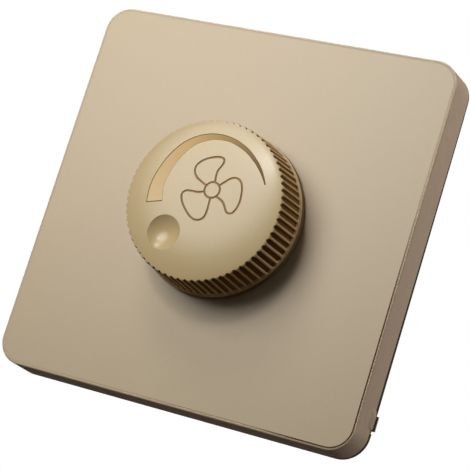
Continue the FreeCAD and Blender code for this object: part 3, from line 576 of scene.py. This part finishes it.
knobLook = {
    "front": -9.35,  # the plate's face: heights below are from it
    "bottom": 0.30, "ridgeFoot": 18.3, "ridgeFootHeight": 2.1, "ridgeRim": 17.7,
    "rimHeight": 11.4, "crown": 12.4, "shoulder": 0.45, "draft": 3.7,
    # height and radius of each ring of the base, then the heights of the rings above it
    "baseRings": [(0.30, 18.48), (0.40, 18.60), (1.74, 18.60), (1.86, 18.54), (2.02, 18.38)],
    "sideHeights": (2.08, 2.16, 2.26, 2.38, 2.50, 2.62, 3.0, 10.1, 10.5),
    "ridges": 70, "pointsPerRidge": 12, "grooveDepth": 0.45, "grooveFoot": 2.02, "grooveTip": 0.6,
    "grooveFlat": 0.24, "tipFlat": 0.06, "grooveEdge": 0.385,  # half widths as parts of the pitch
    "pointFrom": 1.3, "pointLength": 0.9,  # below the rim the groove's floor narrows to a point
    "shadeFrom": 0.3, "shadeDepth": 0.13,  # the groove's painted shade starts this far above its foot and this deep
    "domePaint": 0.55,  # the dome's paint reaches down over this part of the shoulder
    # radii of the dome's first and last ring, and the steps between them, smaller in the middle
    "domePoints": 140, "domeStart": 16.2, "domeStep": 1.2, "middle": 4, "middleStep": 0.9, "domeEnd": 1.5,
    "skirtInside": 16.15, "skirtInsideTop": 15.55, "crownInside": 10.4, "hub": 5.4,
    "bore": 3.05, "boreEnd": 9.3, "boreFlat": 2.15,
    "ribs": 6, "rib": 1.1, "ribHeight": 4.0, "ribSunk": 0.4, "ribPast": 1.2, "ribRound": 0.2,
}
dimpleLook = {"x": -6.35, "z": -8.95, "radius": 3.85, "depth": 1.35}
arcPlace = {
    # both sides of the arc at the same angles: degrees round the knob, then distances from its middle
    "angles": (24, 36, 50, 68, 86, 104, 122, 140, 158, 176, 194.5),
    "outer": (14.10, 14.05, 14.04, 14.20, 14.36, 14.33, 13.92, 13.20, 12.68, 12.60, 12.65),
    "inner": (14.00, 13.60, 13.38, 13.34, 13.30, 12.84, 11.83, 10.60, 9.85, 9.40, 9.03),
    "depth": 0.11, "borderHalf": 0.09, "borderDepth": 0.07,
    "toolAbove": 0.5, "toolHeight": 2.4,
}
fanLook = {
    "x": 1.81, "z": 2.19, "ring": 1.72, "halfWidth": 0.25, "depth": 0.16,
    # each blade's outline round the hub: angle in degrees and distance in mm
    "top": [(86, 1.8), (92, 3.0), (91, 4.3), (86, 5.5), (84.5, 6.5), (87.5, 7.1), (95, 7.3), (107, 7.25),
            (120, 7.2), (131, 7.1), (141, 6.8), (148, 6.1), (154, 4.9), (156, 3.45), (157, 2.0)],
    "right": [(45, 1.9), (45, 3.4), (44, 4.7), (38, 5.8), (29, 6.4), (16, 6.6), (2, 6.7), (348, 6.95),
              (334, 7.1), (325, 6.95), (320, 6.2), (322, 5.1), (327, 3.9), (326, 2.7), (318, 1.8)],
    "left": [(202, 1.8), (199, 3.2), (193.5, 4.7), (192.5, 5.9), (197, 6.7), (206, 6.95), (219, 6.95),
             (234, 7.0), (250, 7.2), (260, 7.0), (269, 6.2), (273, 5.0), (274, 3.5), (274, 1.8)],
}
domeRise = knobLook["crown"] - knobLook["rimHeight"]
domePower = 3.2  # nearly flat in the middle, rolling off towards the rim


def heightToY(height):
    return (knobLook["front"] - height) * mm


def domeHeight(radius):
    return knobLook["crown"] - domeRise * (radius / knobLook["ridgeRim"]) ** domePower


def sideRadius(height):
    share = (height - knobLook["ridgeFootHeight"]) / (knobLook["rimHeight"] - knobLook["ridgeFootHeight"])
    return knobLook["ridgeFoot"] + share * (knobLook["ridgeRim"] - knobLook["ridgeFoot"])


def limited(share):
    return min(max(share, 0.0), 1.0)


def grooveShare(off, height):  # off: distance from the groove's middle, as a part of the pitch
    rise = limited((height - knobLook["grooveFoot"]) / knobLook["grooveTip"])
    width = math.sqrt(1 - (1 - rise) ** 2)  # the lower end is round
    if width < 0.01:
        return 0.0
    up = limited((height - knobLook["rimHeight"] + knobLook["pointFrom"]) / knobLook["pointLength"])
    flat = knobLook["grooveFlat"] + up * (knobLook["tipFlat"] - knobLook["grooveFlat"])
    wall = (knobLook["grooveEdge"] - off / width) / (knobLook["grooveEdge"] - flat)
    return limited(wall) * min(1.0, rise * 1.5)


def shoulderRings():  # round edge between the drafted side and the dome
    bend = knobLook["shoulder"]
    centreHeight = knobLook["rimHeight"] - bend
    for _ in range(8):  # the centre settles where the round meets both the side and the dome
        centreRadius = sideRadius(centreHeight) - bend
        slope = math.atan(domeRise * domePower * (centreRadius / knobLook["ridgeRim"]) ** (domePower - 1)
                          / knobLook["ridgeRim"])
        centreHeight = domeHeight(centreRadius + bend * math.sin(slope)) - bend * math.cos(slope)
    span = 90 - math.degrees(slope) - knobLook["draft"]
    steps = 6
    rings = []
    for step in range(steps + 1):
        a = math.radians(knobLook["draft"] + span * step / steps)
        rings.append((centreHeight + bend * math.sin(a), centreRadius + bend * math.cos(a)))
    return rings


def outerRings():
    sides = [(height, sideRadius(height)) for height in knobLook["sideHeights"]]
    return knobLook["baseRings"] + sides + shoulderRings()


def atLevel(vert, y):
    return abs(vert.co.y - y) < 0.001 * mm


def circleAt(height, radius, count):
    place = (0, heightToY(height), 0)
    bpy.ops.mesh.primitive_circle_add(vertices=count, radius=radius * mm, location=place,
                                      rotation=(math.pi / 2, 0, 0))


def scaleTo(factor, y):
    bpy.ops.transform.resize(value=(factor, 1, factor), center_override=(0, y, 0))


def makeKnobSide(look):
    perRidge = look["pointsPerRidge"]
    count = look["ridges"] * perRidge
    rings = outerRings()
    shoulderFoot = look["rimHeight"] - look["shoulder"]
    floorRadius = sideRadius(shoulderFoot) - look["grooveDepth"]
    circleAt(rings[0][0], rings[0][1], count)
    knob = named("knobCap")
    startEdit(knob)
    now = [rings[0][1]] * perRidge  # radius of each point of a ridge on the last ring
    bpy.ops.mesh.select_all(action="SELECT")
    for (lastHeight, _), (height, radius) in zip(rings, rings[1:]):
        extrudeBy(0, (lastHeight - height) * mm, 0)
        y = heightToY(height)
        wanted = []
        for point in range(perRidge):
            share = grooveShare(abs(point / perRidge - 0.5), height)
            groove = radius - look["grooveDepth"] * share
            if height > shoulderFoot:  # over the shoulder the floor runs straight up
                groove = min(radius, floorRadius + (1 - share) * look["grooveDepth"])
            wanted.append(groove)
        for factor in sorted({round(new / old, 7) for new, old in zip(wanted, now)}):
            points = {i for i, (new, old) in enumerate(zip(wanted, now)) if round(new / old, 7) == factor}
            if abs(factor - 1) < 1e-6:
                continue

            def inGroup(vert):
                turn = math.atan2(vert.co.z, vert.co.x) / (2 * math.pi) * count
                return atLevel(vert, y) and round(turn) % perRidge in points

            pick(knob, inGroup)
            scaleTo(factor, y)
        now = wanted
        pick(knob, lambda vert: atLevel(vert, y))
    endEdit()
    return knob, rings


def profileRadius(height, rings):  # radius of the ridges at a height
    for (low, lowRadius), (high, highRadius) in zip(rings, rings[1:]):
        if low <= height <= high:
            return lowRadius + (highRadius - lowRadius) * (height - low) / (high - low)
    return rings[-1][1]


def shadeGrooves(knob, look, rings):
    startEdit(knob)

    def heightOf(face):
        return look["front"] - face.calc_center_median().y / mm

    def onSide(face):
        return heightOf(face) < look["rimHeight"] - look["shoulder"] * look["domePaint"]

    def inGroove(face):
        height, middle = heightOf(face), face.calc_center_median()
        depth = profileRadius(height, rings) - math.hypot(middle.x, middle.z) / mm
        return height > look["grooveFoot"] + look["shadeFrom"] and depth > look["shadeDepth"]

    print("  ridge faces:", giveFinish(knob, 1, onSide), "groove faces:", giveFinish(knob, 2, inGroove))
    endEdit()


def addDome(knob, look, rings):
    startEdit(knob)
    top = heightToY(rings[-1][0])
    radius = look["domeStart"]
    circleAt(domeHeight(radius), radius, look["domePoints"])
    pick(knob, lambda vert: vert.co.y < top + 0.001 * mm)
    bpy.ops.mesh.bridge_edge_loops()
    inner = heightToY(domeHeight(radius))
    pick(knob, lambda vert: atLevel(vert, inner))
    while radius > look["domeEnd"]:
        smaller = radius - (look["domeStep"] if radius > look["middle"] else look["middleStep"])
        extrudeBy(0, (domeHeight(radius) - domeHeight(smaller)) * mm, 0)
        scaleTo(smaller / radius, heightToY(domeHeight(smaller)))
        radius = smaller
    extrudeBy(0, (domeHeight(radius) - look["crown"]) * mm, 0)
    bpy.ops.mesh.merge(type="CENTER")
    endEdit()


def addInside(knob, look):
    startEdit(knob)
    bottom = heightToY(look["bottom"])
    circleAt(look["bottom"], look["skirtInside"], look["domePoints"])
    pick(knob, lambda vert: atLevel(vert, bottom))
    bpy.ops.mesh.bridge_edge_loops()
    inside = look["skirtInside"] * mm * 1.001
    pick(knob, lambda vert: atLevel(vert, bottom) and math.hypot(vert.co.x, vert.co.z) < inside)
    rise = (look["crownInside"] - look["bottom"]) * mm
    extrudeBy(0, -rise, 0)
    scaleTo(look["skirtInsideTop"] / look["skirtInside"], heightToY(look["crownInside"]))
    extrudeBy(0, 0, 0)
    scaleTo(look["hub"] / look["skirtInsideTop"], heightToY(look["crownInside"]))
    extrudeBy(0, rise, 0)
    extrudeBy(0, 0, 0)
    scaleTo(look["bore"] / look["hub"], bottom)
    extrudeBy(0, (look["bottom"] - look["boreEnd"]) * mm, 0)
    bpy.ops.mesh.edge_face_add()
    flat = look["boreFlat"] * mm
    reach = look["bore"] * mm * 1.01
    pick(knob, lambda vert: vert.co.z > flat and math.hypot(vert.co.x, vert.co.z) < reach
         and vert.co.y > heightToY(look["boreEnd"]) - 0.01 * mm)
    bpy.ops.transform.resize(value=(1, 1, 0), center_override=(0, 0, flat))
    fixNormals()
    endEdit()


def addRibs(knob, look):  # ribs from hub to skirt under the crown
    middle = (look["hub"] + look["skirtInsideTop"]) / 2 * mm
    length = look["skirtInsideTop"] - look["hub"] + look["ribPast"]
    height = look["ribHeight"] + look["ribSunk"]
    y = heightToY(look["crownInside"] + look["ribSunk"] - height / 2)
    bpy.ops.mesh.primitive_cube_add(size=mm, location=(middle, y, 0), scale=(length, height, look["rib"]))
    rib = named("knobRibs")
    startEdit(rib)
    low = heightToY(look["crownInside"] - look["ribHeight"])
    pick(rib, lambda edge: all(abs(vert.co.y - low) < 0.01 * mm for vert in edge.verts)
         and abs(edge.verts[0].co.x - edge.verts[1].co.x) > mm, "edges")
    bpy.ops.mesh.bevel(offset=look["ribRound"] * mm, segments=2)
    endEdit()
    ribs = [rib]
    for turn in range(1, look["ribs"]):
        extra = rib.copy()
        extra.data = rib.data.copy()
        bpy.context.collection.objects.link(extra)
        extra.data.transform(Matrix.Rotation(math.radians(360 / look["ribs"] * turn), 4, "Y"))
        ribs.append(extra)
    justThis(rib)
    for extra in ribs:
        extra.select_set(True)
    bpy.ops.object.join()
    cutWith(knob, rib, "UNION")


def cutDimple(knob, look):
    reach = math.hypot(look["x"], look["z"])
    ball = (look["radius"] ** 2 + look["depth"] ** 2) / (2 * look["depth"])
    place = (look["x"] * mm, heightToY(domeHeight(reach) - look["depth"]) - ball * mm, look["z"] * mm)
    bpy.ops.mesh.primitive_uv_sphere_add(segments=144, ring_count=96, radius=ball * mm, location=place,
                                         rotation=(math.pi / 2, 0, 0))
    dimple = named("dimpleTool")
    dimple.data.materials.append(knobPaint.material)
    cutWith(knob, dimple)


def arcSide(side):
    return [(reach * math.cos(math.radians(angle)), reach * math.sin(math.radians(angle)))
            for angle, reach in zip(arcPlace["angles"], arcPlace[side])]


def smoothLine(name, places, closed=False):  # curve through places given as x, y, z in metres
    curve = bpy.data.curves.new(name, "CURVE")
    curve.dimensions = "3D"
    curve.resolution_u = 6
    spline = curve.splines.new("BEZIER")
    spline.bezier_points.add(len(places) - 1)
    for point, place in zip(spline.bezier_points, places):
        point.co = place
        point.handle_left_type = point.handle_right_type = "AUTO"
    spline.use_cyclic_u = closed
    line = bpy.data.objects.new(name, curve)
    bpy.context.collection.objects.link(line)
    return line


def toMesh(line):
    justThis(line)
    bpy.ops.object.convert(target="MESH")
    return bpy.context.object


def arcEdge(side, look):
    above = heightToY(look["crown"] + arcPlace["toolAbove"])
    return toMesh(smoothLine("arcTool_" + side, [(x * mm, above, z * mm) for x, z in arcSide(side)]))


def cutArc(knob, look):
    sunk = knob.copy()
    sunk.data = knob.data.copy()
    bpy.context.collection.objects.link(sunk)
    sunk.data.transform(Matrix.Translation((0, arcPlace["depth"] * mm, 0)))
    sunk.data.materials.clear()
    sunk.data.materials.append(arcFill.material)
    outer = arcEdge("outer", look)
    inner = arcEdge("inner", look)
    justThis(outer)
    inner.select_set(True)
    bpy.ops.object.join()
    startEdit(outer)
    bpy.ops.mesh.select_all(action="SELECT")
    bpy.ops.mesh.bridge_edge_loops()
    bpy.ops.mesh.select_all(action="SELECT")
    extrudeBy(0, arcPlace["toolHeight"] * mm, 0)
    fixNormals()
    endEdit()
    outer.data.materials.append(arcBorder.material)
    cutWith(outer, sunk)
    cutWith(knob, outer)


def lineTool(name, places, half, depth, finish, closed=False):  # round bar that leaves a line in the dome
    bar = (half ** 2 + depth ** 2) / (2 * depth)
    above = [(x * mm, heightToY(domeHeight(math.hypot(x, z)) + bar - depth), z * mm) for x, z in places]
    line = smoothLine(name, above, closed)
    line.data.bevel_depth = bar * mm
    line.data.bevel_resolution = 5
    line.data.use_fill_caps = True
    tool = toMesh(line)
    startEdit(tool)
    fixNormals()
    endEdit()
    tool.data.materials.clear()
    tool.data.materials.append(finish.material)
    return tool


def aroundPoint(x, z, points):  # angle and distance from a centre, made into places
    return [(x + reach * math.cos(math.radians(angle)), z + reach * math.sin(math.radians(angle)))
            for angle, reach in points]


def cutFanSign(knob, look):
    for blade in ("top", "right", "left"):
        outline = aroundPoint(look["x"], look["z"], look[blade])
        cutWith(knob, lineTool("fanBlade_" + blade, outline, look["halfWidth"], look["depth"], signLine))
    ring = aroundPoint(look["x"], look["z"], [(30 * step, look["ring"]) for step in range(12)])
    cutWith(knob, lineTool("fanRing", ring, look["halfWidth"], look["depth"], signLine, closed=True))


def cutArcBorder(knob, look):  # scratch-fine line along both sides and the thick end
    outer, inner = arcSide("outer"), arcSide("inner")
    lines = {"arcBorderOuter": outer, "arcBorderInner": inner, "arcBorderEnd": [outer[-1], inner[-1]]}
    for name, places in lines.items():
        cutWith(knob, lineTool(name, places, look["borderHalf"], look["borderDepth"], arcBorder))


def makeKnob(look):
    knob, rings = makeKnobSide(look)
    knob.data.materials.append(knobPaint.material)
    knob.data.materials.append(knurlRidge.material)
    knob.data.materials.append(knurlPaintedShade.material)
    shadeGrooves(knob, look, rings)
    addDome(knob, look, rings)
    addInside(knob, look)
    print("  knob turned:", len(knob.data.polygons), "faces")
    cutArc(knob, look)
    addRibs(knob, look)
    cutDimple(knob, dimpleLook)
    cutFanSign(knob, fanLook)
    cutArcBorder(knob, arcPlace)
    print("  knob cut:", len(knob.data.polygons), "faces")
    softShading(knob, 24)
    return knob


knobCap = makeKnob(knobLook)
print("knob made")


# stage, lights and camera

stageLook = {"floorZ": -0.10, "floorRadius": 0.9, "pale": (0.84, 0.84, 0.83), "bounce": (0.03, 0.025, 0.02),
             "glow": 0.85}


def backgroundRays(tree):  # 1 where the background is seen straight, mirrored or through glass
    path = tree.nodes.new("ShaderNodeLightPath")
    seen = path.outputs["Is Camera Ray"]
    for kind in ("Is Glossy Ray", "Is Transmission Ray"):
        either = tree.nodes.new("ShaderNodeMath")
        either.operation = "MAXIMUM"
        tree.links.new(seen, either.inputs[0])
        tree.links.new(path.outputs[kind], either.inputs[1])
        seen = either.outputs[0]
    return seen


def makeFloor(look):
    bpy.ops.mesh.primitive_circle_add(vertices=96, radius=look["floorRadius"], fill_type="NGON",
                                      location=(0, 0, look["floorZ"]))
    floor = named("floor")
    paper = Finish("paleFloor", look["pale"], 0.9, specular=0.1)
    grain = paper.noise(1.5, 2.0)
    pale = paper.blend(grain, darker(look["pale"], 0.98), darker(look["pale"], 1.02))
    tree = paper.tree
    seen = Wire(paper, backgroundRays(tree))
    paper.feed("Base Color", paper.blend(seen, look["bounce"], pale))  # the object is hardly lit from below
    white, mix = tree.nodes.new("ShaderNodeEmission"), tree.nodes.new("ShaderNodeMixShader")
    output = next(node for node in tree.nodes if node.type == "OUTPUT_MATERIAL")
    paper.join(mix.inputs[0], seen * look["glow"])
    tree.links.new(paper.shader.outputs[0], mix.inputs[1])
    tree.links.new(white.outputs[0], mix.inputs[2])
    tree.links.new(mix.outputs[0], output.inputs["Surface"])
    floor.data.materials.append(paper.material)
    return floor


def makeWorld(look):
    world = bpy.data.worlds.new("studio")
    bpy.context.scene.world = world
    world.use_nodes = True
    tree = world.node_tree
    tree.nodes.clear()
    mix = tree.nodes.new("ShaderNodeMixShader")
    tree.links.new(backgroundRays(tree), mix.inputs[0])
    sides = ((1, look["ambientColour"], look["ambient"]), (2, (1, 1, 1), look["white"]))
    for socket, colour, strength in sides:  # what lights the object, and what is seen behind it
        sky = tree.nodes.new("ShaderNodeBackground")
        sky.inputs[0].default_value = (*colour, 1)
        sky.inputs[1].default_value = strength
        tree.links.new(sky.outputs[0], mix.inputs[socket])
    tree.links.new(mix.outputs[0], tree.nodes.new("ShaderNodeOutputWorld").inputs[0])


def addLamp(name, place, size, power, colour):  # a disc of light aimed at the middle of the plate
    bpy.ops.object.light_add(type="AREA", location=place)
    lamp = bpy.context.object
    lamp.name = name
    lamp.data.shape = "DISK"
    lamp.data.size = size
    lamp.data.energy = power
    lamp.data.color = colour
    lamp.rotation_euler = (-Vector(place)).to_track_quat("-Z", "Y").to_euler()


lightLook = {
    "ambient": 0.011, "ambientColour": (1.0, 0.94, 0.82), "white": 1.0,
    "lamps": {  # place and width in metres, watts, colour
        "frontSoftbox": ((-0.105, -0.25, 0.085), 0.17, 0.47, (1.0, 0.985, 0.955)),
        "windowLight": ((-0.054, -0.315, 0.143), 0.04, 0.14, (1.0, 1.0, 1.0)),
        "topLight": ((-0.07, -0.14, 0.175), 0.08, 0.14, (1.0, 1.0, 1.0)),
        "grazingLight": ((0.20, -0.022, 0.20), 0.03, 0.265, (1.0, 0.98, 0.94)),  # along the plate
        "sideFill": ((0.28, 0.20, -0.02), 0.14, 0.35, (1.0, 0.97, 0.93)),
        "backSoftbox": ((-0.25, 0.40, 0.25), 0.30, 1.5, (1.0, 0.99, 0.98)),
    },
}
floor = makeFloor(stageLook)
makeWorld(lightLook)
for lampName, lampValues in lightLook["lamps"].items():
    addLamp(lampName, *lampValues)

cameraLook = {
    "place": (0.1542548, -0.333588, -0.0675134), "lens": 130.289,
    "right": (0.88796, 0.35296, 0.29486), "up": (-0.20123, -0.27833, 0.93917),
    "forward": (-0.41355, 0.89328, 0.17612),
}


def makeCamera(look):
    camera = bpy.data.objects.new("camera", bpy.data.cameras.new("camera"))
    bpy.context.collection.objects.link(camera)
    right, up, forward = (Vector(look[axis]).normalized() for axis in ("right", "up", "forward"))
    turn = Matrix((right, up, -forward)).transposed()
    camera.matrix_world = Matrix.Translation(look["place"]) @ turn.to_4x4()
    camera.data.lens = look["lens"]
    camera.data.sensor_width = 36
    bpy.context.scene.camera = camera


makeCamera(cameraLook)
bpy.context.scene.view_settings.view_transform = "Standard"
print("stage ready")


# what each piece rides on and stands for

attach(coverPlate, "housing")
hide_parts("cover_plate")
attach(knobCap, "knob")
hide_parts("knob_cap")
